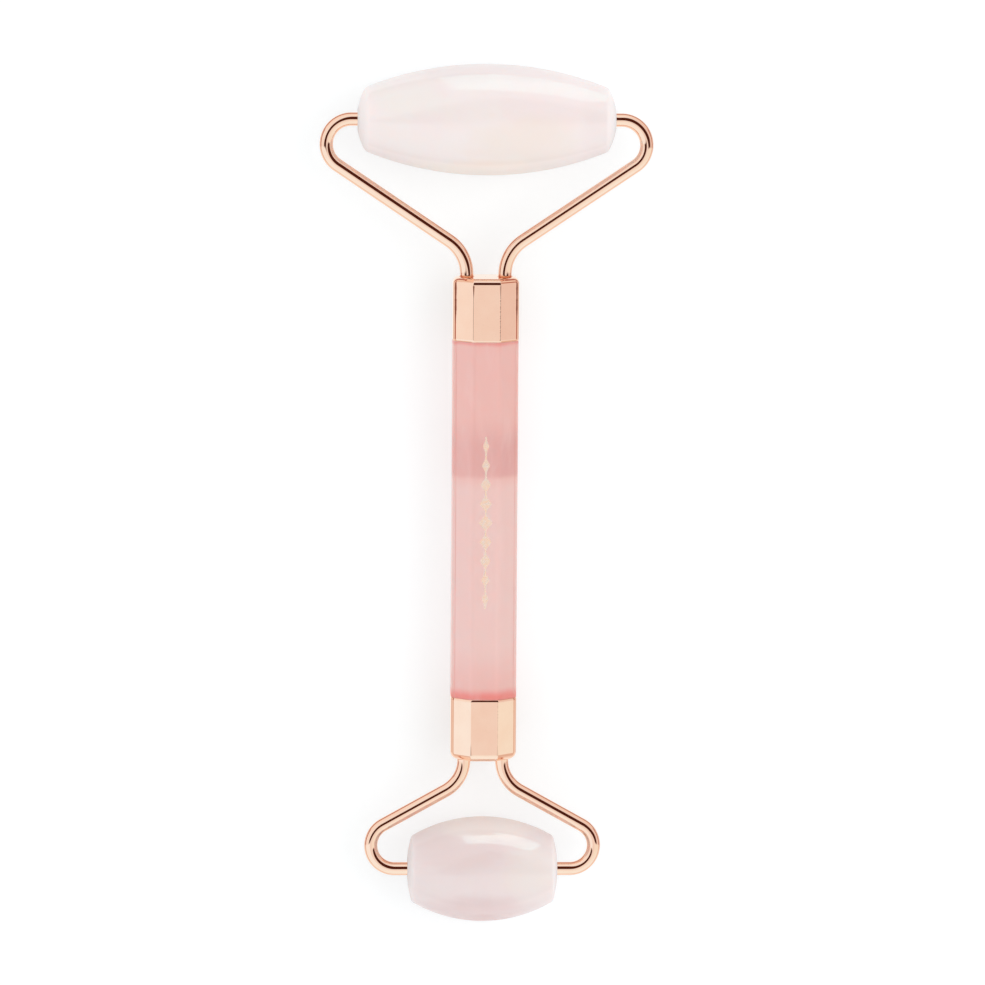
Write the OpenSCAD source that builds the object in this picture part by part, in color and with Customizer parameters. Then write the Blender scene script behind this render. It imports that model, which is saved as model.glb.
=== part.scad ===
// Double-ended face roller: a faceted crystal handle, a plated ferrule on each end of it,
// and in front of each ferrule two bent wire arms that carry a barrel-shaped stone.
// Axes: +Y runs along the handle towards the large stone, +X to the right, +Z up from the
// table. Origin: on the table, under the middle of the whole length. Millimetres.

/* [Overall] */
// Length over both stones
overall_length = 145; // [135:0.5:155]
// Width across the flats of the octagonal handle
handle_across = 11; // [10:0.1:12]
// Width across the flats of each ferrule
ferrule_across = 11.1; // [10.6:0.1:12]
// Length of each ferrule
ferrule_length = 10.6; // [9:0.1:12]

/* [Large stone] */
// Length from end to end
large_length = 43.8; // [40:0.1:48]
// Diameter at the middle
large_diameter = 18.6; // [17:0.1:20]
// Radius of the long barrel curve
large_crown_radius = 54; // [48:1:70]
// Radius of the shallow domes on its ends
large_dome_radius = 10.5; // [10:0.5:16]
// Radius that rounds the rim of each end
large_rim_radius = 1.6; // [1:0.1:2.2]
// Distance from the end of the ferrule to the axis of the stone
large_reach = 26.3; // [25:0.1:28]

/* [Small stone] */
// Length from end to end
small_length = 25.7; // [24:0.1:27]
// Diameter at the middle
small_diameter = 17.7; // [16.5:0.1:18.5]
// Radius of the long barrel curve
small_crown_radius = 23.4; // [22:0.2:30]
// Radius of the shallow domes on its ends
small_dome_radius = 20; // [15:0.5:25]
// Radius that rounds the rim of each end
small_rim_radius = 0.8; // [0.5:0.1:1.2]
// Distance from the end of the ferrule to the axis of the stone
small_reach = 19.05; // [18.5:0.05:21]

/* [Wire arms] */
// Diameter of the wire
wire_diameter = 2.25; // [2:0.05:2.4]
// Distance of each arm's root from the middle of the ferrule
root_offset = 3.2; // [3:0.05:3.3]
// Depth that each root goes into its ferrule
root_depth = 4.2; // [3:0.1:4.5]
// Outermost point of the wire centre line, large arms
large_half_width = 26.8; // [26.5:0.1:29]
// Slope of the straight stretch of a large arm, in degrees
large_slope = 33.9; // [33:0.1:34.5]
// Radius of the bend near the ferrule, large arms
large_root_bend = 6.8; // [6:0.1:7]
// Radius of the bend beside the stone, large arms
large_outer_bend = 4.2; // [4:0.1:4.4]
// Outermost point of the wire centre line, small arms
small_half_width = 18.86; // [18.5:0.02:19.5]
// Slope of the straight stretch of a small arm, in degrees
small_slope = 29.2; // [28:0.1:30]
// Radius of the bend near the ferrule, small arms
small_root_bend = 6; // [5.5:0.1:6.2]
// Radius of the bend beside the stone, small arms
small_outer_bend = 4; // [3.8:0.1:4.1]

/* [Bushes] */
// Outer diameter of a bush, which is the bore of the stone
bush_diameter = 3; // [2.9:0.1:3.6]
// Radial running clearance between the wire and its bush
running_clearance = 0.05; // [0.02:0.01:0.08]
// Length of the large stone's bushes
large_bush_length = 8; // [6:0.5:9]
// Length of the small stone's bushes
small_bush_length = 6; // [5:0.5:6.5]

/* [Foil ornament] */
// Length of the foil line on the front facet
foil_length = 29; // [20:1:36]
// Number of lozenges on the line
foil_lozenges = 9; // [3:2:11]
// Width of the middle lozenge
foil_width = 2.4; // [1.5:0.1:3]

/* [Hidden] */
$fn = 96;
barrel_fn = 360;            // the long barrel curves have a large radius
across_to_diameter = 1 / cos(22.5);  // from across the flats to across the corners

// Heights and stations along the handle
axis_height = large_diameter / 2;
large_axis_y = overall_length / 2 - large_diameter / 2;
small_axis_y = small_diameter / 2 - overall_length / 2;
large_end_y = large_axis_y - large_reach;
small_end_y = small_axis_y + small_reach;
large_seam_y = large_end_y - ferrule_length;
small_seam_y = small_end_y + ferrule_length;
handle_length = large_seam_y - small_seam_y;

// Ferrules: a cup that is closed towards the stone
ferrule_wall = 0.7;
ferrule_end_wall = 1.4;
ferrule_end_rounding = 1;
ferrule_mouth_rounding = 0.25;
ferrule_corner_softening = 0.07;
cavity_across = ferrule_across - 2 * ferrule_wall;
cavity_depth = ferrule_length - ferrule_end_wall;

// Handle: an octagonal bar with a stepped tenon in each ferrule
handle_corner_softening = 0.13;
glue_line = 0.15;
tenon_across = cavity_across - 2 * glue_line;
tenon_length = 6;

// Wire arms
wire_radius = wire_diameter / 2;
wire_tip_chamfer = 0.25;
joint_allowance = 0.01;     // how far the sleeve over a seam stands out of the wire
joint_length = 0.2;
seam_gap = 0.01;            // between a straight and its bend, inside the sleeve
braze_fillet = 0.27;
tip_past_bush = 0.6;

// Bushes and the blind bores that hold them
bush_recess = 0.4;
bore_past_tip = 0.5;
bore_mouth_chamfer = 0.25;
large_tip_x = large_length / 2 - bush_recess - large_bush_length - tip_past_bush;
small_tip_x = small_length / 2 - bush_recess - small_bush_length - tip_past_bush;

// Foil ornament, pressed in flush with the front facet
foil_thickness = 0.05;
foil_line_width = 0.3;
foil_middle_y = -4;
front_facet_z = axis_height + handle_across / 2;

overshoot = 1;              // how far a cutter runs past the face that it cuts

plated_metal = "#e0a88a";
crystal = "#ecc0b8";
quartz = "#f1e7e4";
nylon = "#f4f1ea";
resin = "#e8dcc8";
foil_gold = "#f0d2a0";

// ---- Places ----------------------------------------------------------------------------

// Stands a part on the end of the large ferrule: its +Y leaves the handle
module at_large_end() translate([0, large_end_y, axis_height]) children();

// The same on the small ferrule, turned to face the other way
module at_small_end() translate([0, small_end_y, axis_height]) mirror([0, 1, 0]) children();

module on_the_left() mirror([1, 0, 0]) children();

// Lays a part that is drawn upwards along +Z down along +Y
module along_y() rotate([-90, 0, 0]) children();

// ---- Shared shapes ---------------------------------------------------------------------

// An octagonal prism from z = 0 upwards, with one facet square to X and one to Y
module octagon(across, length)
    rotate(22.5) cylinder(d = across * across_to_diameter, h = length, $fn = 8);

// What remains outside a quarter circle in the corner of a square
module corner_waste(radius)
    difference() {
        square(radius + overshoot);
        circle(r = radius);
        translate([-overshoot, -overshoot]) square([radius + 2 * overshoot, overshoot]);
        translate([-overshoot, -overshoot]) square([overshoot, radius + 2 * overshoot]);
    }

// A ferrule's outline from the side: far end rounded more than the mouth
module ferrule_side()
    difference() {
        translate([-ferrule_across / 2, 0]) square([ferrule_across, ferrule_length]);
        for (side = [0, 1]) mirror([side, 0]) {
            translate([ferrule_across / 2 - ferrule_end_rounding, ferrule_length - ferrule_end_rounding])
                corner_waste(ferrule_end_rounding);
            translate([ferrule_across / 2 - ferrule_mouth_rounding, ferrule_mouth_rounding])
                mirror([0, 1]) corner_waste(ferrule_mouth_rounding);
        }
    }

// Octagonal cup with both ends' edges rounded on every facet and a bore for each arm
module ferrule()
    difference() {
        intersection() {
            for_each_facet_pair(0);
            for_each_facet_pair(45);
            for_each_facet_pair(90);
            for_each_facet_pair(135);
            cylinder(r = ferrule_across * across_to_diameter / 2 - ferrule_corner_softening,
                     h = ferrule_length);
        }
        translate([0, 0, -overshoot]) octagon(cavity_across, cavity_depth + overshoot);
        for (x = [-root_offset, root_offset])
            translate([x, 0, cavity_depth - overshoot])
                cylinder(r = wire_radius, h = ferrule_end_wall + 2 * overshoot);
    }

// The ferrule's side outline, swept straight across it at one angle
module for_each_facet_pair(angle)
    rotate([90, 0, angle])
        linear_extrude(2 * ferrule_across, center = true) ferrule_side();

// Cured adhesive: a slug around the roots and a thin sleeve around the tenon
module ferrule_resin()
    difference() {
        translate([0, 0, glue_line]) octagon(cavity_across, cavity_depth - glue_line);
        octagon(tenon_across, tenon_length);
        for (x = [-root_offset, root_offset])
            translate([x, 0, ferrule_length - root_depth])
                cylinder(r = wire_radius, h = root_depth);
    }

// Filler metal where an arm leaves the ferrule: a ring with a hollow flank
module braze()
    translate([root_offset, 0, 0]) along_y() rotate_extrude()
        difference() {
            translate([wire_radius, 0]) square(braze_fillet);
            translate([wire_radius + braze_fillet, braze_fillet]) circle(r = braze_fillet);
        }

// A piece of wire that bends about the Z axis from one angle through another
module wire_bend(bend_radius, start_angle, swept_angle)
    rotate(start_angle) rotate_extrude(angle = swept_angle, $fn = 192)
        translate([bend_radius, 0]) circle(r = wire_radius);

// A sleeve, a hair thicker than the wire, that joins a straight to a bend
module wire_joint(at, heading)
    translate([at.x, at.y, 0]) rotate(heading) rotate([0, 90, 0])
        cylinder(r = wire_radius + joint_allowance, h = joint_length, center = true);

// A straight piece of wire between two points of the XY plane, short by the gap at each end
module wire_straight(from, to)
    translate([from.x, from.y, 0]) rotate(atan2(to.y - from.y, to.x - from.x))
        translate([seam_gap, 0, 0]) rotate([0, 90, 0])
            cylinder(r = wire_radius, h = norm(to - from) - 2 * seam_gap);

// The straight stub that the stone turns on: it runs along +X from its chamfered tip
module wire_stub(length)
    rotate([0, 90, 0]) rotate_extrude()
        polygon([[0, 0], [wire_radius - wire_tip_chamfer, 0], [wire_radius, wire_tip_chamfer],
                 [wire_radius, length], [0, length]]);

// The right arm, seen from the end of its ferrule: root, bend, slope, bend, stub.
// The start of the root bend follows from the slope being tangent to both bends.
module arm(reach, half_width, slope, root_bend, outer_bend, tip_x) {
    outer_centre = [half_width - outer_bend, reach - outer_bend];
    root_centre_x = root_offset + root_bend;
    root_centre_y = outer_centre.y
        - (root_bend + outer_bend + sin(slope) * (outer_centre.x - root_centre_x)) / cos(slope);
    square_to_slope = [sin(slope), -cos(slope)];
    slope_start = [root_centre_x, root_centre_y] - root_bend * square_to_slope;
    slope_end = outer_centre + outer_bend * square_to_slope;

    root_end = [root_offset, root_centre_y];
    stub_start = [outer_centre.x, reach];

    wire_straight([root_offset, -root_depth], root_end);
    wire_joint(root_end, 90);
    translate([root_centre_x, root_centre_y]) wire_bend(root_bend, 90 + slope, 90 - slope);
    wire_joint(slope_start, slope);
    wire_straight(slope_start, slope_end);
    wire_joint(slope_end, slope);
    translate(outer_centre) wire_bend(outer_bend, slope - 90, 180 - slope);
    wire_joint(stub_start, 0);
    translate([tip_x, reach, 0]) wire_stub(stub_start.x - tip_x - seam_gap);
}

// Half the outline of a stone, to the right of the axis of its revolution.
// The barrel curve and the dome meet in a rim arc that is tangent to both.
module stone_outline(length, diameter, crown_radius, dome_radius, rim_radius) {
    crown_centre = [diameter / 2 - crown_radius, 0];
    dome_centre = [0, length / 2 - dome_radius];
    apart = dome_centre - crown_centre;
    to_crown = crown_radius - rim_radius;
    to_dome = dome_radius - rim_radius;
    along = (to_crown ^ 2 - to_dome ^ 2 + norm(apart) ^ 2) / (2 * norm(apart));
    aside = sqrt(to_crown ^ 2 - along ^ 2);
    unit = apart / norm(apart);
    rim_centre = crown_centre + along * unit + aside * [-unit.y, unit.x];
    crown_half_angle = atan2(rim_centre.y, rim_centre.x - crown_centre.x);
    dome_start_angle = atan2(rim_centre.y - dome_centre.y, rim_centre.x);

    upper = concat(
        arc(crown_centre, crown_radius, 0, crown_half_angle, 24),
        arc(rim_centre, rim_radius, crown_half_angle, dome_start_angle, 8),
        arc(dome_centre, dome_radius, dome_start_angle, 90, 10));
    lower = [for (i = [len(upper) - 1 : -1 : 1]) [upper[i].x, -upper[i].y]];
    polygon(concat(upper, lower));
}

// Points along an arc, with both of its ends
function arc(centre, radius, start, end, steps) =
    [for (i = [0 : steps])
        let (angle = start + (end - start) * i / steps)
        centre + radius * [cos(angle), sin(angle)]];

// A stone on the X axis, with a blind bore for a bush in each end
module stone(length, diameter, crown_radius, dome_radius, rim_radius, tip_x)
    difference() {
        rotate([0, 90, 0]) rotate_extrude($fn = barrel_fn)
            stone_outline(length, diameter, crown_radius, dome_radius, rim_radius);
        for (side = [0, 1]) mirror([side, 0, 0]) {
            translate([tip_x - bore_past_tip, 0, 0]) rotate([0, 90, 0])
                cylinder(d = bush_diameter, h = length);
            translate([length / 2 - 2 * bore_mouth_chamfer, 0, 0]) rotate([0, 90, 0])
                cylinder(d1 = bush_diameter, d2 = bush_diameter + 4 * bore_mouth_chamfer,
                         h = 2 * bore_mouth_chamfer);
        }
    }

// The right bush of a stone
module bush(stone_length, bush_length)
    translate([stone_length / 2 - bush_recess - bush_length, 0, 0]) rotate([0, 90, 0])
        difference() {
            cylinder(d = bush_diameter, h = bush_length);
            translate([0, 0, -overshoot])
                cylinder(r = wire_radius + running_clearance, h = bush_length + 2 * overshoot);
        }

// Outline of the foil: a line with lozenges that grow towards its middle
module foil_outline() {
    pitch = foil_length / foil_lozenges;
    middle = (foil_lozenges - 1) / 2;
    square([foil_line_width, foil_length], center = true);
    for (i = [0 : foil_lozenges - 1]) {
        width = foil_width * (1 - 0.55 * abs(i - middle) / middle);
        translate([0, (i - middle) * pitch])
            polygon([[width / 2, 0], [0, pitch * 0.42], [-width / 2, 0], [0, -pitch * 0.42]]);
    }
}

module foil(thickness)
    translate([0, foil_middle_y, front_facet_z - foil_thickness])
        linear_extrude(thickness) foil_outline();

// ---- Sub-parts: handle and its ends ----------------------------------------------------

module handle()
    color(crystal) difference() {
        union() {
            intersection() {
                translate([0, small_seam_y, axis_height]) along_y()
                    octagon(handle_across, handle_length);
                translate([0, small_seam_y, axis_height]) along_y()
                    cylinder(r = handle_across * across_to_diameter / 2 - handle_corner_softening,
                             h = handle_length);
            }
            translate([0, small_seam_y - tenon_length, axis_height]) along_y()
                octagon(tenon_across, handle_length + 2 * tenon_length);
        }
        foil(foil_thickness + overshoot);
    }

module handle_foil() color(foil_gold) foil(foil_thickness);

module large_ferrule()
    color(plated_metal) translate([0, large_seam_y, axis_height]) along_y() ferrule();

module large_ferrule_resin()
    color(resin) translate([0, large_seam_y, axis_height]) along_y() ferrule_resin();

module small_ferrule()
    color(plated_metal)
        translate([0, small_seam_y, axis_height]) mirror([0, 1, 0]) along_y() ferrule();

module small_ferrule_resin()
    color(resin)
        translate([0, small_seam_y, axis_height]) mirror([0, 1, 0]) along_y() ferrule_resin();

// ---- Sub-parts: wire arms --------------------------------------------------------------

module large_arm()
    arm(large_reach, large_half_width, large_slope, large_root_bend, large_outer_bend,
        large_tip_x);

module small_arm()
    arm(small_reach, small_half_width, small_slope, small_root_bend, small_outer_bend,
        small_tip_x);

module large_right_arm() color(plated_metal) at_large_end() large_arm();
module large_left_arm() color(plated_metal) at_large_end() on_the_left() large_arm();
module small_right_arm() color(plated_metal) at_small_end() small_arm();
module small_left_arm() color(plated_metal) at_small_end() on_the_left() small_arm();

module large_right_braze() color(plated_metal) at_large_end() braze();
module large_left_braze() color(plated_metal) at_large_end() on_the_left() braze();
module small_right_braze() color(plated_metal) at_small_end() braze();
module small_left_braze() color(plated_metal) at_small_end() on_the_left() braze();

// ---- Sub-parts: stones and bushes ------------------------------------------------------

module on_large_axis() translate([0, large_axis_y, axis_height]) children();
module on_small_axis() translate([0, small_axis_y, axis_height]) children();

module large_stone()
    color(quartz) on_large_axis()
        stone(large_length, large_diameter, large_crown_radius, large_dome_radius,
              large_rim_radius, large_tip_x);

module small_stone()
    color(quartz) on_small_axis()
        stone(small_length, small_diameter, small_crown_radius, small_dome_radius,
              small_rim_radius, small_tip_x);

module large_right_bush() color(nylon) on_large_axis() bush(large_length, large_bush_length);
module large_left_bush()
    color(nylon) on_large_axis() on_the_left() bush(large_length, large_bush_length);
module small_right_bush() color(nylon) on_small_axis() bush(small_length, small_bush_length);
module small_left_bush()
    color(nylon) on_small_axis() on_the_left() bush(small_length, small_bush_length);

handle();
handle_foil();
large_ferrule();
large_ferrule_resin();
large_left_arm();
large_right_arm();
large_left_braze();
large_right_braze();
small_ferrule();
small_ferrule_resin();
small_left_arm();
small_right_arm();
small_left_braze();
small_right_braze();
large_stone();
large_left_bush();
large_right_bush();
small_stone();
small_left_bush();
small_right_bush();
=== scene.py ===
"""Looks of the double-ended face roller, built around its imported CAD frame."""
import math

import bpy
import numpy as np
from mathutils import Matrix, Vector


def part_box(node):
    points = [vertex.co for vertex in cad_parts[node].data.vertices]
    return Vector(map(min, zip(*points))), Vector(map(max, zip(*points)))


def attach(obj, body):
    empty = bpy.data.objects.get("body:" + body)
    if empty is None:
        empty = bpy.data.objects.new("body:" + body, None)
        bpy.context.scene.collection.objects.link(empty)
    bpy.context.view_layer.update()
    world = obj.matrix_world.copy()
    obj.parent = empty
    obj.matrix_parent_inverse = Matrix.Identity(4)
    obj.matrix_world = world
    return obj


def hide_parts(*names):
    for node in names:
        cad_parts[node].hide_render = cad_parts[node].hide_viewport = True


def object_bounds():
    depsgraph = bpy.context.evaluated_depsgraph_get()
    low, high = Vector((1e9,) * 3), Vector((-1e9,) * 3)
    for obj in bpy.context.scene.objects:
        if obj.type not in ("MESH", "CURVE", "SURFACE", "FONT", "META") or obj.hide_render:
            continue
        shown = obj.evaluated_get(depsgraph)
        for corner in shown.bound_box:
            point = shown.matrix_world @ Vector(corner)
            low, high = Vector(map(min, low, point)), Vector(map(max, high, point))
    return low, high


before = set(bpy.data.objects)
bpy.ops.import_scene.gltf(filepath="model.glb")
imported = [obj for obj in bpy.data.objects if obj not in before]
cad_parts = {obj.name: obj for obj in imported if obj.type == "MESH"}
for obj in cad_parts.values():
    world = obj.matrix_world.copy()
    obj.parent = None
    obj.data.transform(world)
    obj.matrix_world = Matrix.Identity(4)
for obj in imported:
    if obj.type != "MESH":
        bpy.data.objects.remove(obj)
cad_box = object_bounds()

MM = 0.001
UP = np.array([0.0, 0.0, 1.0])

# Shapes that the boxes of the CAD nodes don't give, in metres and degrees
WIRE_RADIUS = 1.125 * MM
WIRE_SIDES = 48
TIP_PAST_BUSH = 0.6 * MM
TIP_CHAMFER = 0.25 * MM
ARMS = {
    "large": {"slope": 33.9, "root_bend": 6.8 * MM, "outer_bend": 4.2 * MM},
    "small": {"slope": 29.2, "root_bend": 6.0 * MM, "outer_bend": 4.0 * MM},
}
STONE_SIDES = 192
STONES = {
    "large": {"crown": 54 * MM, "dome": 10.5 * MM, "rim": 1.6 * MM},
    "small": {"crown": 23.4 * MM, "dome": 20 * MM, "rim": 0.8 * MM},
}
BORE_RADIUS = 1.5 * MM
BORE_PAST_TIP = 0.5 * MM
BORE_CHAMFER = 0.25 * MM
CAP_CORNER = 0.16 * MM  # along the front and back edges
SIDE_CORNER = 1.9 * MM  # along the edges of the left and right facets
HIDDEN_CORNER = 0.1 * MM  # inside a cap, and on the tenons
CAP_END_ROUNDING = {"large": 1.0 * MM, "small": 1.35 * MM}
CAP_MOUTH_LENGTH = 0.42 * MM
CAP_MOUTH_DROP = 0.12 * MM
CAP_WALL = 0.7 * MM
CAP_END_WALL = 1.4 * MM
BAR_CORNER = 1.6 * MM
BAR_END_ROUNDING = 0.08 * MM
TENON_APOTHEM = 4.7 * MM
CENTRE = 0.01  # a flat end closes on a ring of this share of its width
FOIL_LOZENGES = 9
FOIL_TAPER = 0.55  # how much narrower the lozenges at the ends are than the middle one
FOIL_FILL = 0.42  # half a lozenge's length, as a share of the pitch
FOIL_STEM = 0.15 * MM  # half the width of the line between two lozenges
FOIL_PROUD = 0.015 * MM

# Where the painted reflections on the caps and the painted shade along the bar lie, as
# distances from the middle of the handle
FRONT_EDGE_X = 2.24 * MM
SIDE_EDGE_X = 5.12 * MM
BAR_EDGE_X = 4.93 * MM

# Clouds in the stones, and painted light and shade at their ends and edges: along, across,
# half length and half width in mm, strength, colour
LARGE_CLOUDS_AND_PAINTED_SHADING = (
    (6.5, -3.4, 9.0, 4.4, 0.75, (0.825, 0.745, 0.695, 1)),
    (-12.0, 3.2, 6.5, 2.4, 0.6, (0.83, 0.79, 0.76, 1)),
    # the last four are painted shade at the +x end, painted light at the -x end, painted shade
    # along the +y side, and painted light along the -y side
    (20.5, 0.0, 4.5, 9.0, 0.7, (0.80, 0.725, 0.72, 1)),
    (-21.5, 0.0, 3.0, 9.0, 0.8, (0.87, 0.775, 0.765, 1)),
    (0.0, 9.2, 22.0, 2.2, 0.7, (0.80, 0.71, 0.705, 1)),
    (-2.0, -8.6, 13.0, 2.2, 0.8, (0.88, 0.785, 0.72, 1)),
)
SMALL_CLOUDS_AND_PAINTED_SHADING = (
    (-4.0, 3.4, 6.0, 2.6, 0.55, (0.745, 0.62, 0.605, 1)),
    (7.5, 0.5, 4.5, 5.0, 0.7, (0.785, 0.725, 0.695, 1)),
    # the last three are painted light along the +y side, and painted shade towards the -y side
    (0.0, 8.4, 12.0, 2.4, 0.85, (0.83, 0.74, 0.705, 1)),
    (-1.0, -6.9, 8.5, 3.4, 0.75, (0.72, 0.575, 0.57, 1)),
    (-1.5, -9.4, 7.5, 2.0, 0.75, (0.68, 0.50, 0.49, 1)),
)

FLOOR_REACH = 3.0

# Panels that light only the polish: angle over the stone, width, height, level, colour
PANELS = {
    "large": (88.5, 0.46, 0.41, 1.9, (0.42, 1.0, 0.95)),
    "small": (81.5, 0.49, 0.277, 3.0, (0.60, 1.0, 0.96)),
}
PANEL_ASIDE = 0.26
PANEL_DISTANCE = 0.5

# Camera: what it looks at, from the middle of the object, and how it is turned in degrees
CAMERA_AIM = (1.35 * MM, 0.5 * MM, 0.1 * MM)
CAMERA_TILT, CAMERA_ASIDE, CAMERA_ROLL = 6.75, 2.5, 0.38
CAMERA_DISTANCE = 1.04
CAMERA_LENS = 226.02


# ---- Mesh building ---------------------------------------------------------------------

class Shell:
    """Collects grids of quads with their own normals, and welds them into one mesh."""

    def __init__(self):
        self.corners, self.normals = [], []

    def grid(self, points, normals, wrap=True):
        """points and normals: arrays of rows x columns x 3; wrap closes the columns."""
        p, n = np.asarray(points, float), np.asarray(normals, float)
        if wrap:
            p = np.concatenate([p, p[:, :1]], axis=1)
            n = np.concatenate([n, n[:, :1]], axis=1)

        def quads(a):
            return np.stack([a[:-1, :-1], a[:-1, 1:], a[1:, 1:], a[1:, :-1]], axis=2)

        self.corners.append(quads(p).reshape(-1, 4, 3))
        self.normals.append(quads(n).reshape(-1, 4, 3))

    def object(self, name, material):
        corners = np.concatenate(self.corners)
        normals = np.concatenate(self.normals)
        # wind every quad so that it faces the way its normals point
        cross = np.cross(corners[:, 2] - corners[:, 0], corners[:, 3] - corners[:, 1])
        wrong = (cross * normals.sum(axis=1)).sum(axis=1) < 0
        corners[wrong] = corners[wrong][:, ::-1]
        normals[wrong] = normals[wrong][:, ::-1]
        keys, index = np.unique(
            np.round(corners.reshape(-1, 3) * 1e8).astype(np.int64), axis=0,
            return_inverse=True)
        index = index.reshape(-1, 4)
        verts = np.zeros((len(keys), 3))
        verts[index.ravel()] = corners.reshape(-1, 3)
        faces, loops = [], []
        for row, normal in zip(index, normals):
            kept = [i for i in range(4) if row[i] != row[i - 1]]
            if len(kept) > 2 and len(set(row[kept])) == len(kept):
                faces.append([int(row[i]) for i in kept])
                loops.extend(normal[kept])
        mesh = bpy.data.meshes.new(name)
        mesh.from_pydata(verts.tolist(), [], faces)
        mesh.shade_smooth()
        unit = np.array(loops)
        unit /= np.maximum(np.linalg.norm(unit, axis=1, keepdims=True), 1e-12)
        mesh.normals_split_custom_set(unit.tolist())
        made = bpy.data.objects.new(name, mesh)
        bpy.context.scene.collection.objects.link(made)
        made.data.materials.append(material)
        return made


def place(piece, body, slot, *nodes):
    """Fixes a piece to a body, and hides the CAD nodes that it replaces; slot is not used."""
    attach(piece, body)
    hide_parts(*nodes)


def arc(centre, radius, start, end, steps):
    """Points and outward normals along an arc; the angles are in degrees."""
    a = np.radians(np.linspace(start, end, steps + 1))
    n = np.stack([np.cos(a), np.sin(a)], axis=1)
    return np.asarray(centre) + radius * n, n


# ---- Wire arms -------------------------------------------------------------------------

def arm_line(size, side):
    """Centre line of an arm from its root to its tip, with the direction at each point."""
    shape, word = ARMS[size], "right" if side > 0 else "left"
    low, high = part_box(f"{size}_{word}_arm")
    ferrule_low, ferrule_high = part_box(f"{size}_ferrule")
    stone_low, stone_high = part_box(f"{size}_stone")
    bush_low, bush_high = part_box(f"{size}_{word}_bush")
    braze_low, braze_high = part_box(f"{size}_{word}_braze")
    ahead = 1 if size == "large" else -1
    end_y = ferrule_high.y if ahead > 0 else ferrule_low.y
    axis_z = (stone_low.z + stone_high.z) / 2

    reach = abs((stone_low.y + stone_high.y) / 2 - end_y)
    half_width = (high.x if side > 0 else -low.x) - WIRE_RADIUS
    depth = abs(end_y - (low.y if ahead > 0 else high.y))
    root_x = abs(braze_low.x + braze_high.x) / 2
    tip_x = min(abs(bush_low.x), abs(bush_high.x)) - TIP_PAST_BUSH
    slope, root_bend, outer_bend = shape["slope"], shape["root_bend"], shape["outer_bend"]
    sin, cos = math.sin(math.radians(slope)), math.cos(math.radians(slope))

    outer = np.array([half_width - outer_bend, reach - outer_bend])
    centre_x = root_x + root_bend
    centre_y = outer[1] - (root_bend + outer_bend + sin * (outer[0] - centre_x)) / cos
    first, first_n = arc([centre_x, centre_y], root_bend, 180, 90 + slope, 28)
    last, last_n = arc(outer, outer_bend, slope - 90, 90, 56)
    points = [np.array([root_x, -depth]), np.array([root_x, centre_y / 2])]
    heads = [np.array([0.0, 1.0])] * 2
    points += list(first)
    heads += [np.array([n[1], -n[0]]) for n in first_n]
    for t in np.linspace(0, 1, 12)[1:-1]:
        points.append(first[-1] * (1 - t) + last[0] * t)
        heads.append(np.array([cos, sin]))
    points += list(last)
    heads += [np.array([-n[1], n[0]]) for n in last_n]
    for x in np.linspace(outer[0], tip_x, 8)[1:]:
        points.append(np.array([x, reach]))
        heads.append(np.array([-1.0, 0.0]))
    line = np.array([[side * p[0], end_y + ahead * p[1], axis_z] for p in points])
    head = np.array([[side * h[0], ahead * h[1], 0.0] for h in heads])
    return line, head


def build_arm(size, side, material):
    line, head = arm_line(size, side)
    across = np.cross(head, UP)
    around = np.radians(np.arange(WIRE_SIDES) * (360 / WIRE_SIDES))
    ring_n = (np.cos(around)[None, :, None] * UP
              + np.sin(around)[None, :, None] * across[:, None, :])
    body_line = line.copy()
    body_line[-1] = line[-1] - head[-1] * TIP_CHAMFER
    shell = Shell()
    shell.grid(body_line[:, None, :] + WIRE_RADIUS * ring_n, ring_n)
    # flat root, and a tip with its edge broken
    root_n = np.broadcast_to(-head[0], (2, WIRE_SIDES, 3))
    shell.grid([line[0] + r * ring_n[0] for r in (0, WIRE_RADIUS)], root_n)
    inner = WIRE_RADIUS - TIP_CHAMFER
    slant = ring_n[-1] + head[-1]
    shell.grid([body_line[-1] + WIRE_RADIUS * ring_n[-1], line[-1] + inner * ring_n[-1]],
               [slant, slant])
    tip_n = np.broadcast_to(head[-1], (2, WIRE_SIDES, 3))
    shell.grid([line[-1] + r * ring_n[-1] for r in (inner, 0)], tip_n)
    word = "right" if side > 0 else "left"
    piece = shell.object(f"{size}_{word}_wire", material)
    place(piece, "frame", "rose_gold", f"{size}_{word}_arm")


# ---- Octagonal pieces ------------------------------------------------------------------

def octagon_ring(apothem, corner, side_corner, steps=8):
    """A rounded octagon in the XZ plane: its points and its outward normals.

    The four corners beside the left and right facets are softer than the others.
    """
    points, normals = [], []
    for k in range(8):
        corner_here = min(side_corner if k in (0, 3, 4, 7) else corner, apothem * 0.9)
        towards = math.radians(45 * k + 22.5)
        middle = (apothem - corner_here) / math.cos(math.radians(22.5))
        a = np.radians(45 * k + np.linspace(0, 45, steps + 1))
        n = np.stack([np.cos(a), np.zeros_like(a), np.sin(a)], axis=1)
        centre = middle * np.array([math.cos(towards), 0, math.sin(towards)])
        points.append(centre + corner_here * n)
        normals.append(n)
    return np.concatenate(points), np.concatenate(normals)


def loft(shell, profile, axis_z, ahead, start_y):
    """profile: rows of (apothem, corner radius, y, tilt); tilt turns the normals towards y.

    Hidden corners are equal all round; visible ones are softer beside the side facets.
    """
    points, normals = [], []
    for apothem, corner, y, tilt in profile:
        soft = corner if corner <= HIDDEN_CORNER else SIDE_CORNER
        p, n = octagon_ring(apothem, corner, soft)
        sin, cos = math.sin(math.radians(tilt)), math.cos(math.radians(tilt))
        points.append(p + np.array([0, start_y + ahead * y, axis_z]))
        normals.append(n * cos + np.array([0, ahead * sin, 0]))
    shell.grid(points, normals)


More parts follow.
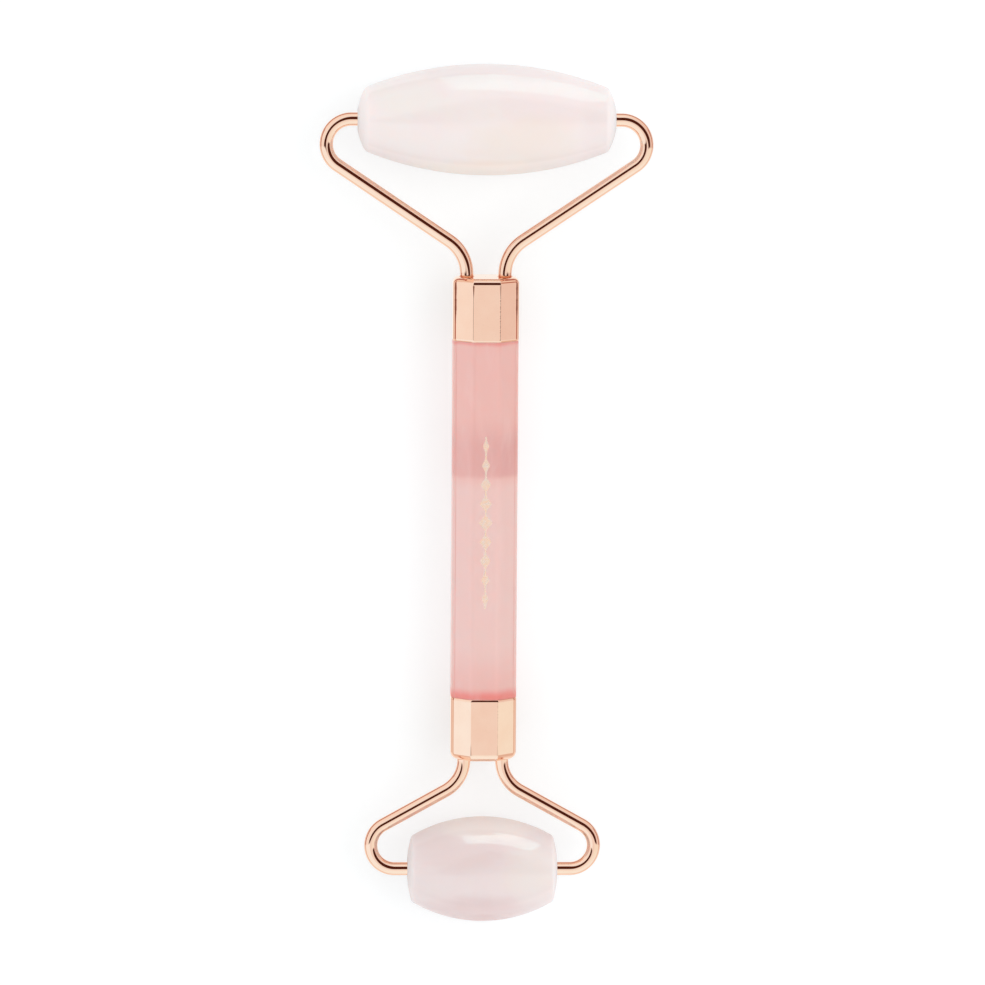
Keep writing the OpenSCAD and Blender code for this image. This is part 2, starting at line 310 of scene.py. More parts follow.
def build_cap(size, material):
    """A ferrule: an octagonal cup with soft corners, closed towards the stone."""
    low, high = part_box(f"{size}_ferrule")
    ahead = 1 if size == "large" else -1
    mouth_y = low.y if ahead > 0 else high.y
    length, outer = high.y - low.y, (high.z - low.z) / 2
    axis_z = (low.z + high.z) / 2
    inner = outer - CAP_WALL
    floor = length - CAP_END_WALL
    rounding = CAP_END_ROUNDING[size]
    shell = Shell()

    def corner(inset):
        return CAP_CORNER + 0.25 * inset

    loft(shell, [(inner * CENTRE, 0, floor, -90), (inner, HIDDEN_CORNER, floor, -90)],
         axis_z, ahead, mouth_y)
    loft(shell, [(inner, HIDDEN_CORNER, floor, 180), (inner, HIDDEN_CORNER, 0, 180)],
         axis_z, ahead, mouth_y)
    lip = outer - CAP_MOUTH_DROP
    loft(shell, [(inner, HIDDEN_CORNER, 0, -90), (lip, BAR_CORNER, 0, -90)],
         axis_z, ahead, mouth_y)
    rows = []
    for t in np.linspace(-90, 0, 13):
        # an elliptical edge: long along the cap, shallow across it
        a = math.radians(t)
        inset = CAP_MOUTH_DROP * (1 - math.cos(a))
        tilt = math.degrees(math.atan2(CAP_MOUTH_DROP * math.sin(a),
                                       CAP_MOUTH_LENGTH * math.cos(a)))
        # the corners soften into those of the bar towards the lip
        soften = CAP_CORNER + (BAR_CORNER - CAP_CORNER) * inset / CAP_MOUTH_DROP
        rows.append((outer - inset, soften, CAP_MOUTH_LENGTH * (1 + math.sin(a)), tilt))
    for t in np.linspace(0, 90, 13):
        a = math.radians(t)
        inset = rounding * (1 - math.cos(a))
        rows.append((outer - inset, corner(inset),
                     length - rounding * (1 - math.sin(a)), t))
    loft(shell, rows, axis_z, ahead, mouth_y)
    face = outer - rounding
    loft(shell, [(face, corner(rounding), length, 90), (face * CENTRE, 0, length, 90)],
         axis_z, ahead, mouth_y)
    piece = shell.object(f"{size}_end_cap", material)
    place(piece, "frame", "rose_gold", f"{size}_ferrule")


def build_bar(material):
    """The crystal handle with the tenons that stand in the caps."""
    low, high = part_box("handle")
    seam_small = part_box("small_ferrule")[1].y
    seam_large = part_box("large_ferrule")[0].y
    apothem = (high.x - low.x) / 2
    axis_z = (low.z + high.z) / 2
    shell = Shell()
    for start, end in ((low.y, seam_small), (seam_large, high.y)):
        loft(shell, [(TENON_APOTHEM, HIDDEN_CORNER, y, 0) for y in (start, end)], axis_z, 1, 0)
    rows = []
    edge = BAR_END_ROUNDING
    for seam, side, tilts in ((seam_small, 1, (-90, -60, -30, 0)),
                              (seam_large, -1, (0, 30, 60, 90))):
        for t in tilts:
            a = math.radians(t)
            rows.append((apothem - edge * (1 - math.cos(a)), BAR_CORNER,
                         seam + edge * (side + math.sin(a)), t))
    loft(shell, rows, axis_z, 1, 0)
    for y, tilt in ((seam_small, -90), (seam_large, 90)):
        loft(shell, [(TENON_APOTHEM, HIDDEN_CORNER, y, tilt),
                     (apothem - edge, BAR_CORNER, y, tilt)], axis_z, 1, 0)
    for y, tilt in ((low.y, -90), (high.y, 90)):
        loft(shell, [(TENON_APOTHEM * CENTRE, 0, y, tilt),
                     (TENON_APOTHEM, HIDDEN_CORNER, y, tilt)], axis_z, 1, 0)
    piece = shell.object("crystal_handle_bar", material)
    place(piece, "frame", "crystal_handle", "handle")


# ---- Stones ----------------------------------------------------------------------------

def stone_profile(size, length, diameter, bore_end):
    """Rows of smooth stretches, each (points, normals) in (radius, x), middle outwards."""
    shape = STONES[size]
    crown, dome, rim = shape["crown"], shape["dome"], shape["rim"]
    crown_centre = np.array([diameter / 2 - crown, 0.0])
    dome_centre = np.array([0.0, length / 2 - dome])
    apart = dome_centre - crown_centre
    gap = np.linalg.norm(apart)
    to_crown, to_dome = crown - rim, dome - rim
    along = (to_crown ** 2 - to_dome ** 2 + gap ** 2) / (2 * gap)
    aside = math.sqrt(to_crown ** 2 - along ** 2)
    unit = apart / gap
    rim_centre = crown_centre + along * unit + aside * np.array([-unit[1], unit[0]])
    crown_end = math.degrees(math.atan2(rim_centre[1], rim_centre[0] - crown_centre[0]))
    dome_start = math.degrees(math.atan2(rim_centre[1] - dome_centre[1], rim_centre[0]))
    mouth = BORE_RADIUS + BORE_CHAMFER
    dome_end = math.degrees(math.acos(mouth / dome))
    parts = [
        arc(crown_centre, crown, 0, crown_end, 60),
        arc(rim_centre, rim, crown_end, dome_start, 14),
        arc(dome_centre, dome, dome_start, dome_end, 18),
    ]
    points = np.concatenate([p if i == 0 else p[1:] for i, (p, _) in enumerate(parts)])
    normals = np.concatenate([n if i == 0 else n[1:] for i, (_, n) in enumerate(parts)])
    face_x = points[-1][1]
    slant = np.array([-1.0, 1.0])
    neck = [np.array([mouth, face_x]), np.array([BORE_RADIUS, face_x - BORE_CHAMFER])]
    wall = [neck[1], np.array([BORE_RADIUS, bore_end])]
    return [(points, normals), (neck, [slant, slant]), (wall, [[-1, 0], [-1, 0]]),
            ([wall[1], np.array([0.0, bore_end])], [[0, 1], [0, 1]])]


def build_stone(size, material):
    """A barrel with domed ends, and a blind bore from each end."""
    low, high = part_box(f"{size}_stone")
    bush_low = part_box(f"{size}_right_bush")[0]
    centre = (np.array(low) + np.array(high)) / 2
    bore_end = bush_low.x - TIP_PAST_BUSH - BORE_PAST_TIP
    around = np.radians(np.arange(STONE_SIDES) * (360 / STONE_SIDES))
    out = np.stack([np.zeros_like(around), np.cos(around), np.sin(around)], axis=1)
    shell = Shell()
    for side in (1, -1):
        end = np.array([side, 0.0, 0.0])
        for points, normals in stone_profile(size, high.x - low.x, high.z - low.z, bore_end):
            shell.grid([centre + r * out + x * end for r, x in points],
                       [r * out + x * end for r, x in normals])
    piece = shell.object(f"{size}_quartz_barrel", material)
    place(piece, f"{size}_roller", "rose_quartz", f"{size}_stone")


# ---- Foil ornament ---------------------------------------------------------------------

def build_foil(material):
    """A line of lozenges, the same as the CAD inlay, a hair proud of the front facet."""
    low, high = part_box("handle_foil")
    length, middle_y = high.y - low.y, (low.y + high.y) / 2
    widest = high.x - low.x
    pitch = length / FOIL_LOZENGES
    half = (FOIL_LOZENGES - 1) / 2
    top, foot = high.z + FOIL_PROUD, low.z
    # half widths along the line: the stem, and each lozenge from stem to point to stem
    stations = [(-length / 2, FOIL_STEM)]
    for i in range(FOIL_LOZENGES):
        w = widest * (1 - FOIL_TAPER * abs(i - half) / half) / 2
        y, h = (i - half) * pitch, pitch * FOIL_FILL
        flank = h * (1 - FOIL_STEM / w)
        stations += [(y - flank, FOIL_STEM), (y, w), (y + flank, FOIL_STEM)]
    stations.append((length / 2, FOIL_STEM))
    left = np.array([[-w, middle_y + y, top] for y, w in stations])
    right = left * [-1, 1, 1]
    shell = Shell()
    shell.grid([left, right], np.broadcast_to(UP, (2, len(left), 3)), wrap=False)
    for edge, side in ((left, -1), (right, 1)):
        for a, b in zip(edge, edge[1:]):
            n = side * np.cross(b - a, UP)
            drop = np.array([0, 0, foot - top])
            shell.grid([[a, b], [a + drop, b + drop]], [[n, n], [n, n]], wrap=False)
    for i, n in ((0, [0, -1, 0]), (-1, [0, 1, 0])):
        a, b = left[i], right[i]
        drop = np.array([0, 0, foot - top])
        shell.grid([[a, b], [a + drop, b + drop]], [[n, n], [n, n]], wrap=False)
    piece = shell.object("foil_lozenge_line", material)
    # foil this thin doesn't darken the crystal around it
    piece.visible_shadow = piece.visible_diffuse = False
    place(piece, "frame", "foil", "handle_foil")


# ---- Materials -------------------------------------------------------------------------

class Nodes:
    """A material or world under construction."""

    def __init__(self, owner):
        owner.use_nodes = True
        self.tree = owner.node_tree
        self.tree.nodes.clear()

    def add(self, kind, settings=None, **inputs):
        node = self.tree.nodes.new(kind)
        for key, value in (settings or {}).items():
            setattr(node, key, value)
        for key, value in inputs.items():
            self.set(node, key.replace("_", " "), value)
        return node

    def set(self, node, name, value):
        """Sets the input of that name or number, or links it where value is a socket."""
        socket = node.inputs[int(name)] if name.isdigit() else node.inputs[name]
        if isinstance(value, bpy.types.NodeSocket):
            self.tree.links.new(value, socket)
        else:
            socket.default_value = value

    def math(self, operation, a, b=0.0, c=0.0):
        node = self.add("ShaderNodeMath", {"operation": operation})
        for i, value in enumerate((a, b, c)):
            self.set(node, str(i), value)
        return node.outputs[0]

    def mix(self, factor, a, b, blend="MIX"):
        node = self.add("ShaderNodeMix", {"data_type": "RGBA", "blend_type": blend})
        self.set(node, "0", factor)
        self.set(node, "6", a)
        self.set(node, "7", b)
        return node.outputs[2]

    def ramp(self, value, low, high, to_low=0.0, to_high=1.0, smooth=True):
        """Takes low..high to to_low..to_high, and holds the ends beyond them."""
        node = self.add("ShaderNodeMapRange",
                        {"interpolation_type": "SMOOTHSTEP" if smooth else "LINEAR"})
        for i, v in enumerate((value, low, high, to_low, to_high)):
            self.set(node, str(i), v)
        return node.outputs[0]

    def place(self):
        """Where a point lies on its piece, in metres."""
        return self.add("ShaderNodeTexCoord").outputs["Object"]

    def axes(self, vector):
        return self.add("ShaderNodeSeparateXYZ", None, Vector=vector).outputs

    def scaled(self, vector, scale):
        node = self.add("ShaderNodeMapping", None, Vector=vector)
        node.inputs["Scale"].default_value = scale
        return node.outputs[0]

    def noise(self, vector, scale, detail=3.0, rough=0.5, distortion=0.0):
        node = self.add("ShaderNodeTexNoise", None, Vector=vector, Scale=scale,
                        Detail=detail, Roughness=rough, Distortion=distortion)
        return node.outputs[0]

    def bump(self, height, distance):
        node = self.add("ShaderNodeBump", None, Height=height, Distance=distance, Strength=1.0)
        return node.outputs[0]


def surface(name, **inputs):
    """A new material with one Principled shader; inputs are its sockets' values."""
    material = bpy.data.materials.new(name)
    n = Nodes(material)
    shader = n.add("ShaderNodeBsdfPrincipled")
    out = n.add("ShaderNodeOutputMaterial")
    n.tree.links.new(shader.outputs[0], out.inputs[0])
    for key, value in inputs.items():
        n.set(shader, key.replace("_", " "), value)
    return material, n, shader


def rose_gold_finish(name, pale=(0.975, 0.69, 0.54), deep=(0.965, 0.66, 0.51), full=False):
    """Polished plating; full also gives the nodes and the shader, to add to them."""
    material, n, shader = surface(name, Metallic=1.0)
    at = n.place()
    cloud = n.noise(at, 260.0, 4.0, 0.6)
    base = n.mix(n.ramp(cloud, 0.3, 0.7), (*deep, 1), (*pale, 1))
    n.set(shader, "Base Color", base)
    n.set(shader, "Roughness", n.ramp(n.noise(at, 900.0, 3.0), 0.3, 0.75, 0.03, 0.055))
    n.set(shader, "Normal", n.bump(n.noise(at, 2600.0, 2.0), 0.0002 * MM))
    return (material, n, shader) if full else material


def cap_finish(size):
    """Rose gold, with painted dark reflections along the front edges; they start at the cap's
    closed end.
    """
    material, n, shader = rose_gold_finish(f"rose_gold_{size}_cap", full=True)
    low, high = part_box(f"{size}_ferrule")
    closed = high.y if size == "large" else low.y
    at = n.place()
    x, y = n.axes(at)[:2]
    off = n.math("ABSOLUTE", n.math("SUBTRACT", n.math("ABSOLUTE", x), FRONT_EDGE_X))
    depth = n.math("ABSOLUTE", n.math("SUBTRACT", y, closed))
    # painted reflection: a short dark stroke that tapers away on the left edge, and a row of
    # dark dots on the right one
    wide = n.ramp(depth, 1.2 * MM, 3.4 * MM, 0.17 * MM, 0.02 * MM, smooth=False)
    stroke = n.math("MULTIPLY", n.ramp(n.math("DIVIDE", off, wide), 1.0, 0.6),
                    n.math("MULTIPLY", n.ramp(depth, 1.0 * MM, 1.25 * MM),
                           n.ramp(depth, 3.6 * MM, 2.4 * MM)))
    stroke = n.math("MULTIPLY", stroke, n.ramp(x, 0.6 * MM, -0.6 * MM, 0.5, 1.0))
    specks = n.noise(n.scaled(at, (0.0, 1.0, 0.0)), 3800.0, 1.0)
    dots = n.math("MULTIPLY", n.ramp(specks, 0.47, 0.55), n.ramp(off, 0.11 * MM, 0.05 * MM))
    dots = n.math("MULTIPLY", dots, n.ramp(depth, 2.0 * MM, 3.5 * MM))
    dots = n.math("MULTIPLY", dots, n.ramp(x, -0.5 * MM, 0.5 * MM, 0.0, 0.55))
    painted_reflection = n.math("MULTIPLY", n.math("MAXIMUM", stroke, dots), 0.9 if size == "large" else 0.4)
    if size == "large":
        # painted dark reflections along the side edges too, down to about two thirds of the
        # cap
        outer = n.math("ABSOLUTE", n.math("SUBTRACT", n.math("ABSOLUTE", x), SIDE_EDGE_X))
        waver = n.noise(n.scaled(at, (0.0, 1.0, 0.0)), 900.0, 2.0)
        width = n.math("MULTIPLY", n.ramp(waver, 0.3, 0.7, 0.14 * MM, 0.24 * MM),
                       n.ramp(depth, 7.6 * MM, 5.0 * MM, 0.2, 1.0))
        edge = n.math("MULTIPLY", n.ramp(n.math("DIVIDE", outer, width), 1.0, 0.5),
                      n.math("MULTIPLY", n.ramp(depth, 0.6 * MM, 1.0 * MM),
                             n.ramp(depth, 7.8 * MM, 6.8 * MM)))
        painted_reflection = n.math("MAXIMUM", painted_reflection, n.math("MULTIPLY", edge, 0.8))
    bright = shader.inputs["Base Color"].links[0].from_socket
    # the painted reflections darken the rose gold towards a dark red-brown
    n.set(shader, "Base Color", n.mix(painted_reflection, bright, (0.30, 0.09, 0.05, 1)))
    return material


def quartz_finish(size, gloss_end, milk, rose, warm, seed, clouds_and_painted_shading):
    """Milky quartz: three tones in fine veins, broad cloudy patches, and painted light and
    shade near the ends and edges; polished but for its ends.
    """
    material, n, shader = surface(
        f"rose_quartz_{size}", Subsurface_Weight=1.0, Subsurface_Scale=4 * MM, IOR=1.5)
    shader.inputs["Subsurface Radius"].default_value = (1.0, 0.80, 0.72)
    low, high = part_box(f"{size}_stone")
    at = n.place()
    x, y = n.axes(at)[:2]
    # the polish stops short of the ends, which are ground matt
    rim = n.add("ShaderNodeLayerWeight", None, Blend=0.5).outputs["Facing"]
    polish = n.ramp(rim, gloss_end - 0.1, gloss_end, 0.5, 0.0)
    edge = STONES[size]["rim"]
    polish = n.math("MULTIPLY", polish, n.ramp(
        n.math("ABSOLUTE", x), high.x - 0.6 * MM - edge, high.x - 0.1 * MM - edge, 1.0, 0.0))
    n.set(shader, "Specular IOR Level", polish)
    mapping = n.add("ShaderNodeMapping", None, Vector=at)
    mapping.inputs["Location"].default_value = (seed, seed * 0.7, seed * 0.3)
    shifted = mapping.outputs[0]
    mottle = n.noise(shifted, 70.0, 5.0, 0.55, 0.8)
    wisps = n.noise(n.scaled(shifted, (0.6, 1.6, 1.6)), 130.0, 6.0, 0.6, 1.6)
    base = n.mix(n.ramp(mottle, 0.35, 0.68), milk, rose)
    base = n.mix(n.ramp(wisps, 0.55, 0.75, 0.0, 0.55), base, warm)
    # each cloud, and each patch of painted light and shade, is an ellipse seen from the front,
    # whose edge drifts and is ragged
    ragged = n.math("MULTIPLY_ADD", wisps, 1.2, -0.6)
    drift = n.noise(shifted, 120.0, 2.0)
    x = n.math("ADD", x, n.math("MULTIPLY_ADD", drift, 6 * MM, -3 * MM))
    drift = n.noise(n.scaled(shifted, (1.0, -1.0, 1.0)), 150.0, 2.0)
    y = n.math("ADD", y, n.math("MULTIPLY_ADD", drift, 4 * MM, -2 * MM))
    for along, across, half_length, half_width, strength, colour in clouds_and_painted_shading:
        dx = n.math("MULTIPLY_ADD", x, 1 / (half_length * MM), -along / half_length)
        middle = (low.y + high.y) / 2 + across * MM
        dy = n.math("MULTIPLY_ADD", y, 1 / (half_width * MM), -middle / (half_width * MM))
        far = n.math("ADD", n.math("MULTIPLY", dx, dx), n.math("MULTIPLY", dy, dy))
        far = n.math("ADD", far, ragged)
        base = n.mix(n.ramp(far, 1.7, 0.0, 0.0, strength), base, colour)
    n.set(shader, "Base Color", base)
    n.set(shader, "Roughness", n.ramp(n.noise(at, 700.0, 3.0), 0.3, 0.7, 0.05, 0.09))
    n.set(shader, "Normal", n.bump(n.noise(at, 900.0, 3.0), 0.004 * MM))
    return material


def crystal_finish():
    """Pink translucent resin; its tint changes along the bar, and deepens at both seams."""
    material, n, shader = surface(
        "crystal_handle", Subsurface_Weight=1.0, Subsurface_Scale=0.4 * MM, IOR=1.5)
    rim = n.add("ShaderNodeLayerWeight", None, Blend=0.5).outputs["Facing"]
    n.set(shader, "Specular IOR Level", n.ramp(rim, 0.45, 0.75, 0.5, 0.0))
    shader.inputs["Subsurface Radius"].default_value = (1.0, 0.55, 0.5)
    at = n.place()
    x, y = n.axes(at)[:2]
    # share: 0 at the small cap's mouth, 1 at the large cap's
    seam_small, seam_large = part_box("small_ferrule")[1].y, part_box("large_ferrule")[0].y
    span = seam_large - seam_small
    wander = n.noise(n.scaled(at, (1.0, 0.25, 1.0)), 260.0, 3.0, 0.5)
    y = n.math("ADD", y, n.math("MULTIPLY_ADD", wander, 0.8 * MM, -0.4 * MM))
    share = n.math("MULTIPLY_ADD", y, 1 / span, -seam_small / span)
    # rose in the upper part and pale in the lower, with a mauve band between them
    rose, pale = (0.80, 0.495, 0.455, 1), (0.805, 0.57, 0.535, 1)
    base = n.mix(n.ramp(share, 0.58, 0.64), pale, rose)
    mauve = n.math("MULTIPLY", n.ramp(share, 0.615, 0.632), n.ramp(share, 0.80, 0.70))
    mauve = n.math("MULTIPLY", mauve, n.ramp(x, -4 * MM, 4 * MM, 0.7, 1.0))
    base = n.mix(mauve, base, (0.725, 0.405, 0.38, 1))
    base = n.mix(n.ramp(share, 0.16, 0.03, 0.0, 0.7), base, (0.79, 0.465, 0.425, 1))
    # coral at both seams
    coral = n.math("MAXIMUM", n.ramp(share, 0.036, 0.006), n.ramp(share, 0.986, 0.997))
    base = n.mix(n.math("MULTIPLY", coral, n.ramp(share, 0.4, 0.6, 0.95, 0.6)), base,
                 (0.79, 0.255, 0.225, 1))
    cloud = n.noise(n.scaled(at, (1.0, 0.3, 1.0)), 240.0, 5.0, 0.6, 0.6)
    base = n.mix(n.ramp(cloud, 0.45, 0.75, 0.0, 0.35), base, (0.83, 0.60, 0.57, 1))
    # painted shade: a faint darker line along each side edge
    off = n.math("ABSOLUTE", n.math("SUBTRACT", n.math("ABSOLUTE", x), BAR_EDGE_X))
    line = n.math("MULTIPLY", n.ramp(off, 0.12 * MM, 0.03 * MM),
                  n.ramp(wander, 0.35, 0.6, 0.2, 0.6))
    base = n.mix(line, base, (0.70, 0.35, 0.31, 1))
    # painted light along the left side of the bar and painted shade along the right, which
    # even out the key light from the right
    across = n.mix(n.ramp(x, -2.8 * MM, -1.9 * MM), (1.055, 1.04, 1.045, 1), (1, 1, 1, 1))
    across = n.mix(n.ramp(x, 1.9 * MM, 2.8 * MM), across, (0.965, 0.945, 0.94, 1))
    n.set(shader, "Base Color", n.mix(1.0, base, across, "MULTIPLY"))
    n.set(shader, "Roughness", n.ramp(n.noise(at, 600.0, 3.0), 0.3, 0.7, 0.08, 0.16))
    n.set(shader, "Normal", n.bump(n.noise(at, 700.0, 2.0), 0.002 * MM))
    return material


def plain_finish(name, noise, darker, lighter, roughness, relief, **inputs):
    """One grain of noise that varies the colour, the roughness and the relief."""
    material, n, shader = surface(name, **inputs)
    grain = n.noise(n.place(), *noise)
    n.set(shader, "Base Color", n.mix(grain, darker, lighter))
    n.set(shader, "Roughness", n.ramp(grain, 0.3, 0.7, *roughness))
    n.set(shader, "Normal", n.bump(grain, relief))
    return material


def build_materials():
    made = {
        "rose_gold": rose_gold_finish("rose_gold"),
        "large_cap": cap_finish("large"),
        "small_cap": cap_finish("small"),
        "braze": rose_gold_finish("braze_metal", (0.90, 0.42, 0.24), (0.78, 0.30, 0.15)),
        "crystal": crystal_finish(),
        "large_quartz": quartz_finish(
            "large", 0.46, (0.84, 0.78, 0.765, 1), (0.845, 0.76, 0.755, 1),
            (0.83, 0.755, 0.72, 1), 0.31, LARGE_CLOUDS_AND_PAINTED_SHADING),
        "small_quartz": quartz_finish(
            "small", 0.36, (0.775, 0.69, 0.685, 1), (0.765, 0.65, 0.645, 1),
            (0.77, 0.69, 0.66, 1), 0.57, SMALL_CLOUDS_AND_PAINTED_SHADING),
        "nylon": plain_finish(
            "nylon_bush", (3000.0, 3.0), (0.86, 0.83, 0.78, 1), (0.92, 0.90, 0.86, 1),
            (0.35, 0.5), 0.004 * MM, Subsurface_Weight=0.3, Subsurface_Scale=0.6 * MM),
        "adhesive": plain_finish(
            "cured_adhesive", (1200.0, 4.0), (0.80, 0.66, 0.52, 1), (0.88, 0.78, 0.66, 1),
            (0.3, 0.5), 0.006 * MM, Subsurface_Weight=0.5, Subsurface_Scale=1 * MM),
    }
    foil, n, shader = surface("foil_gold", Metallic=0.85)
    grain = n.noise(n.place(), 1800.0, 4.0, 0.6)
    n.set(shader, "Base Color", n.mix(n.ramp(grain, 0.3, 0.7), (0.97, 0.70, 0.54, 1),
                                      (1.0, 0.83, 0.72, 1)))
    n.set(shader, "Roughness", n.ramp(grain, 0.3, 0.7, 0.12, 0.24))
    n.set(shader, "Normal", n.bump(grain, 0.0006 * MM))
    made["foil"] = foil
    return made


# ---- Studio ----------------------------------------------------------------------------

def build_floor(scene):
    """White paper; the small stone is slimmer, so it rises a little to touch both stones."""
    large_low, large_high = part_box("large_stone")
    small_low, small_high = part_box("small_stone")
    large_y = (large_low.y + large_high.y) / 2
    small_y = (small_low.y + small_high.y) / 2
    rise = (small_low.z - large_low.z) / (small_y - large_y)
    mesh = bpy.data.meshes.new("floor")
    mesh.from_pydata(
        [(x, y, large_low.z + rise * (y - large_y)) for x, y in
         ((-FLOOR_REACH, -FLOOR_REACH), (FLOOR_REACH, -FLOOR_REACH),
          (FLOOR_REACH, FLOOR_REACH), (-FLOOR_REACH, FLOOR_REACH))],
        [], [(0, 1, 2, 3)])
    floor = bpy.data.objects.new("floor", mesh)
    scene.collection.objects.link(floor)
    paper, n, shader = surface("floor_paper", Specular_IOR_Level=0.0, Roughness=1.0,
                               Emission_Color=(1, 1, 1, 1), Emission_Strength=0.42)
    grain = n.noise(n.place(), 90.0, 3.0)
    n.set(shader, "Base Color", n.mix(grain, (0.578, 0.60, 0.607, 1), (0.588, 0.61, 0.617, 1)))
    floor.data.materials.append(paper)
    floor.visible_glossy = False


def build_surround(scene):
    """White to the camera, a painted room to polished metal, even light to the rest."""
    world = bpy.data.worlds.new("studio")
    scene.world = world
    n = Nodes(world)
    towards = n.add("ShaderNodeTexCoord").outputs["Generated"]
    x, y, z = n.axes(towards)
    side = n.math("ABSOLUTE", x)
    # what polished metal sees: white, warmer to the right, whiter towards the small stone
    colour = n.mix(n.ramp(x, 0.1, 0.9), (0.98, 1.0, 1.0, 1), (0.87, 0.77, 0.74, 1))
    beside = n.mix(n.ramp(x, -0.2, 0.2), (1.0, 1.13, 1.19, 1), (0.96, 1.02, 0.97, 1))
    colour = n.mix(n.ramp(y, -0.10, -0.155), colour, beside)
    colour = n.mix(n.ramp(y, -0.25, -0.80), colour, (1.0, 1.13, 1.16, 1))
    colour = n.mix(n.ramp(z, 0.90, 0.98), colour, (0.92, 0.895, 0.88, 1))
    # a dark card overhead, which draws the thin line along the wires
    middle = n.math("MULTIPLY_ADD", x, n.math("MULTIPLY_ADD", x, -1.2, 0.41), 0.33)
    off = n.math("ABSOLUTE", n.math("SUBTRACT", y, middle))
    card = n.math("MULTIPLY", n.ramp(off, 0.40, 0.34), n.ramp(side, 0.92, 0.8))
    card = n.math("MULTIPLY", card, n.ramp(z, 0.1, 0.3))
    card = n.math("MULTIPLY", card, n.ramp(y, -0.14, -0.08))
    colour = n.mix(card, colour, (0.075, 0.018, 0.009, 1))
    # below the horizon: warm paper, and a dark band that edges the metal
    under = n.mix(n.ramp(z, -0.06, -0.7), (0.88, 0.72, 0.62, 1), (1.0, 0.97, 0.92, 1))
    low_band = n.math("MULTIPLY", n.ramp(y, -0.3, -0.1),
                      n.math("MULTIPLY", n.ramp(z, -0.34, -0.42), n.ramp(z, -0.78, -0.70)))
    side_band = n.math("MULTIPLY", n.ramp(side, 0.6, 0.85),
                       n.math("MULTIPLY", n.ramp(z, -0.07, -0.10), n.ramp(z, -0.42, -0.36)))
    side_band = n.math("MULTIPLY", side_band, n.ramp(y, -0.16, -0.11, 0.25, 1.0))
    side_band = n.math("MULTIPLY", side_band, n.ramp(y, 0.52, 0.40))
    band = n.math("MAXIMUM", n.math("MULTIPLY", low_band, n.ramp(side, 0.85, 0.7)), side_band)
    under = n.mix(n.math("MULTIPLY", band, 0.87), under, (0.42, 0.085, 0.045, 1))
    colour = n.mix(n.ramp(z, -0.05, -0.09), colour, under)
    # the even light that everything else gets
    plain = n.add("ShaderNodeBackground", None, Color=(1, 1, 1, 1), Strength=0.89)
    white = n.add("ShaderNodeBackground", None, Color=(1, 1, 1, 1), Strength=1.0)
    surround = n.add("ShaderNodeBackground", None, Color=colour, Strength=1.0)
    path = n.add("ShaderNodeLightPath").outputs
    first = n.add("ShaderNodeMixShader")
    second = n.add("ShaderNodeMixShader")
    out = n.add("ShaderNodeOutputWorld")
    for source, target in (
            (path["Is Glossy Ray"], first.inputs[0]), (plain.outputs[0], first.inputs[1]),
            (surround.outputs[0], first.inputs[2]), (path["Is Camera Ray"], second.inputs[0]),
            (first.outputs[0], second.inputs[1]), (white.outputs[0], second.inputs[2]),
            (second.outputs[0], out.inputs[0])):
        n.tree.links.new(source, target)


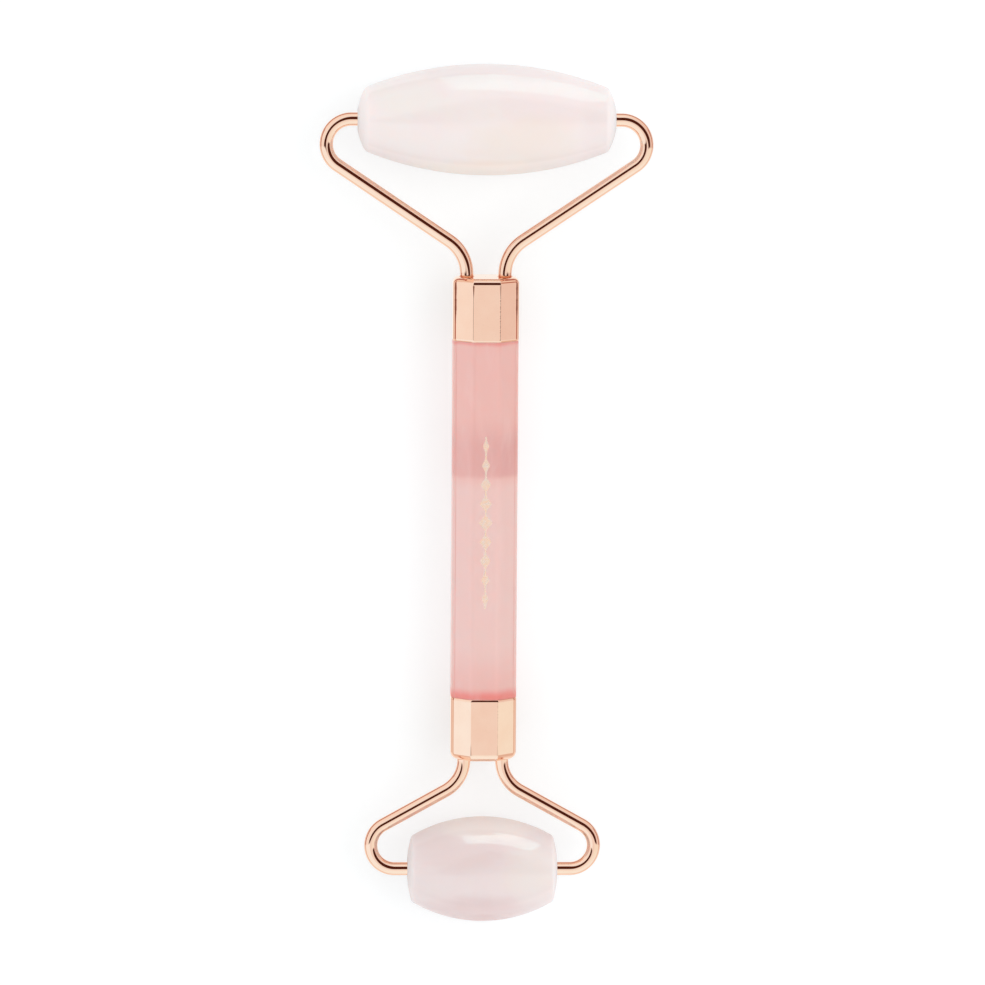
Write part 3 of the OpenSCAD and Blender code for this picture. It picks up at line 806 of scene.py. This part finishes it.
def build_lights(scene):
    """A fill around the lens, whose shadows hide under the object, a soft key, two panels."""
    lens = scene.camera.matrix_world
    fill = bpy.data.lights.new("fill", "AREA")
    fill.shape, fill.size, fill.energy = "DISK", 0.12, 0.95
    key = bpy.data.lights.new("key", "SUN")
    key.angle, key.energy = math.radians(40), 0.42
    towards = (-Vector((0.65, 0.15, 1.0))).to_track_quat("-Z", "Y").to_matrix().to_4x4()
    for light, stand in ((fill, lens), (key, towards)):
        lamp = bpy.data.objects.new(light.name, light)
        scene.collection.objects.link(lamp)
        lamp.matrix_world = stand
        lamp.visible_glossy = False

    # one panel for each stone, which only shows as the bright patch on its polish
    for size, (over, wide, tall, level, colour) in PANELS.items():
        low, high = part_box(f"{size}_stone")
        away = math.radians(over)
        aim = Vector((PANEL_ASIDE, math.sin(away), math.cos(away))).normalized()
        panel = bpy.data.lights.new(f"{size}_panel", "AREA")
        panel.shape, panel.size, panel.size_y = "RECTANGLE", wide, tall
        panel.energy = level * math.pi * wide * tall
        panel.color = colour
        lamp = bpy.data.objects.new(panel.name, panel)
        scene.collection.objects.link(lamp)
        up = aim.cross(Vector((1, 0, 0))).normalized()
        turn = Matrix((up.cross(aim), up, aim)).transposed().to_4x4()
        lamp.matrix_world = (
            Matrix.Translation((low + high) / 2 + aim * PANEL_DISTANCE) @ turn)
        lamp.visible_diffuse = lamp.visible_camera = False
        group = bpy.data.collections.new(f"{size}_panel_target")
        group.objects.link(bpy.data.objects[f"{size}_quartz_barrel"])
        lamp.light_linking.receiver_collection = group


def build_studio():
    scene = bpy.context.scene
    scene.view_settings.view_transform = "Standard"
    build_floor(scene)
    build_surround(scene)
    build_lights(scene)


def build_camera():
    """Looks almost straight down, from a little beyond the large stone."""
    low, high = cad_box
    centre = (low + high) / 2
    target = centre + Vector(CAMERA_AIM)
    tilt, aside, roll = (math.radians(a) for a in (CAMERA_TILT, CAMERA_ASIDE, CAMERA_ROLL))
    back = Vector((-math.tan(aside) * math.cos(tilt), math.sin(tilt), math.cos(tilt)))
    back.normalize()
    right = Vector((0, 1, 0)).cross(back).normalized()
    up = back.cross(right)
    turned_right = right * math.cos(roll) + up * math.sin(roll)
    turned_up = up * math.cos(roll) - right * math.sin(roll)
    camera = bpy.data.objects.new("camera", bpy.data.cameras.new("camera"))
    camera.data.sensor_width = 36
    camera.data.lens = CAMERA_LENS
    camera.data.clip_start, camera.data.clip_end = 0.05, 20
    rotation = Matrix((turned_right, turned_up, back)).transposed().to_4x4()
    camera.matrix_world = Matrix.Translation(target + back * CAMERA_DISTANCE) @ rotation
    bpy.context.scene.collection.objects.link(camera)
    bpy.context.scene.camera = camera


def repaint(ending, material):
    """Gives the carried-over CAD nodes whose names end so a material of their own."""
    for name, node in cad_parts.items():
        if name.endswith(ending):
            node.data.materials.clear()
            node.data.materials.append(material)


def main():
    finish = build_materials()
    build_bar(finish["crystal"])
    build_foil(finish["foil"])
    for size in ("large", "small"):
        build_cap(size, finish[f"{size}_cap"])
        build_stone(size, finish[f"{size}_quartz"])
        for side in (-1, 1):
            build_arm(size, side, finish["rose_gold"])
    repaint("_braze", finish["braze"])
    repaint("_bush", finish["nylon"])
    repaint("_resin", finish["adhesive"])
    build_camera()
    build_studio()


main()
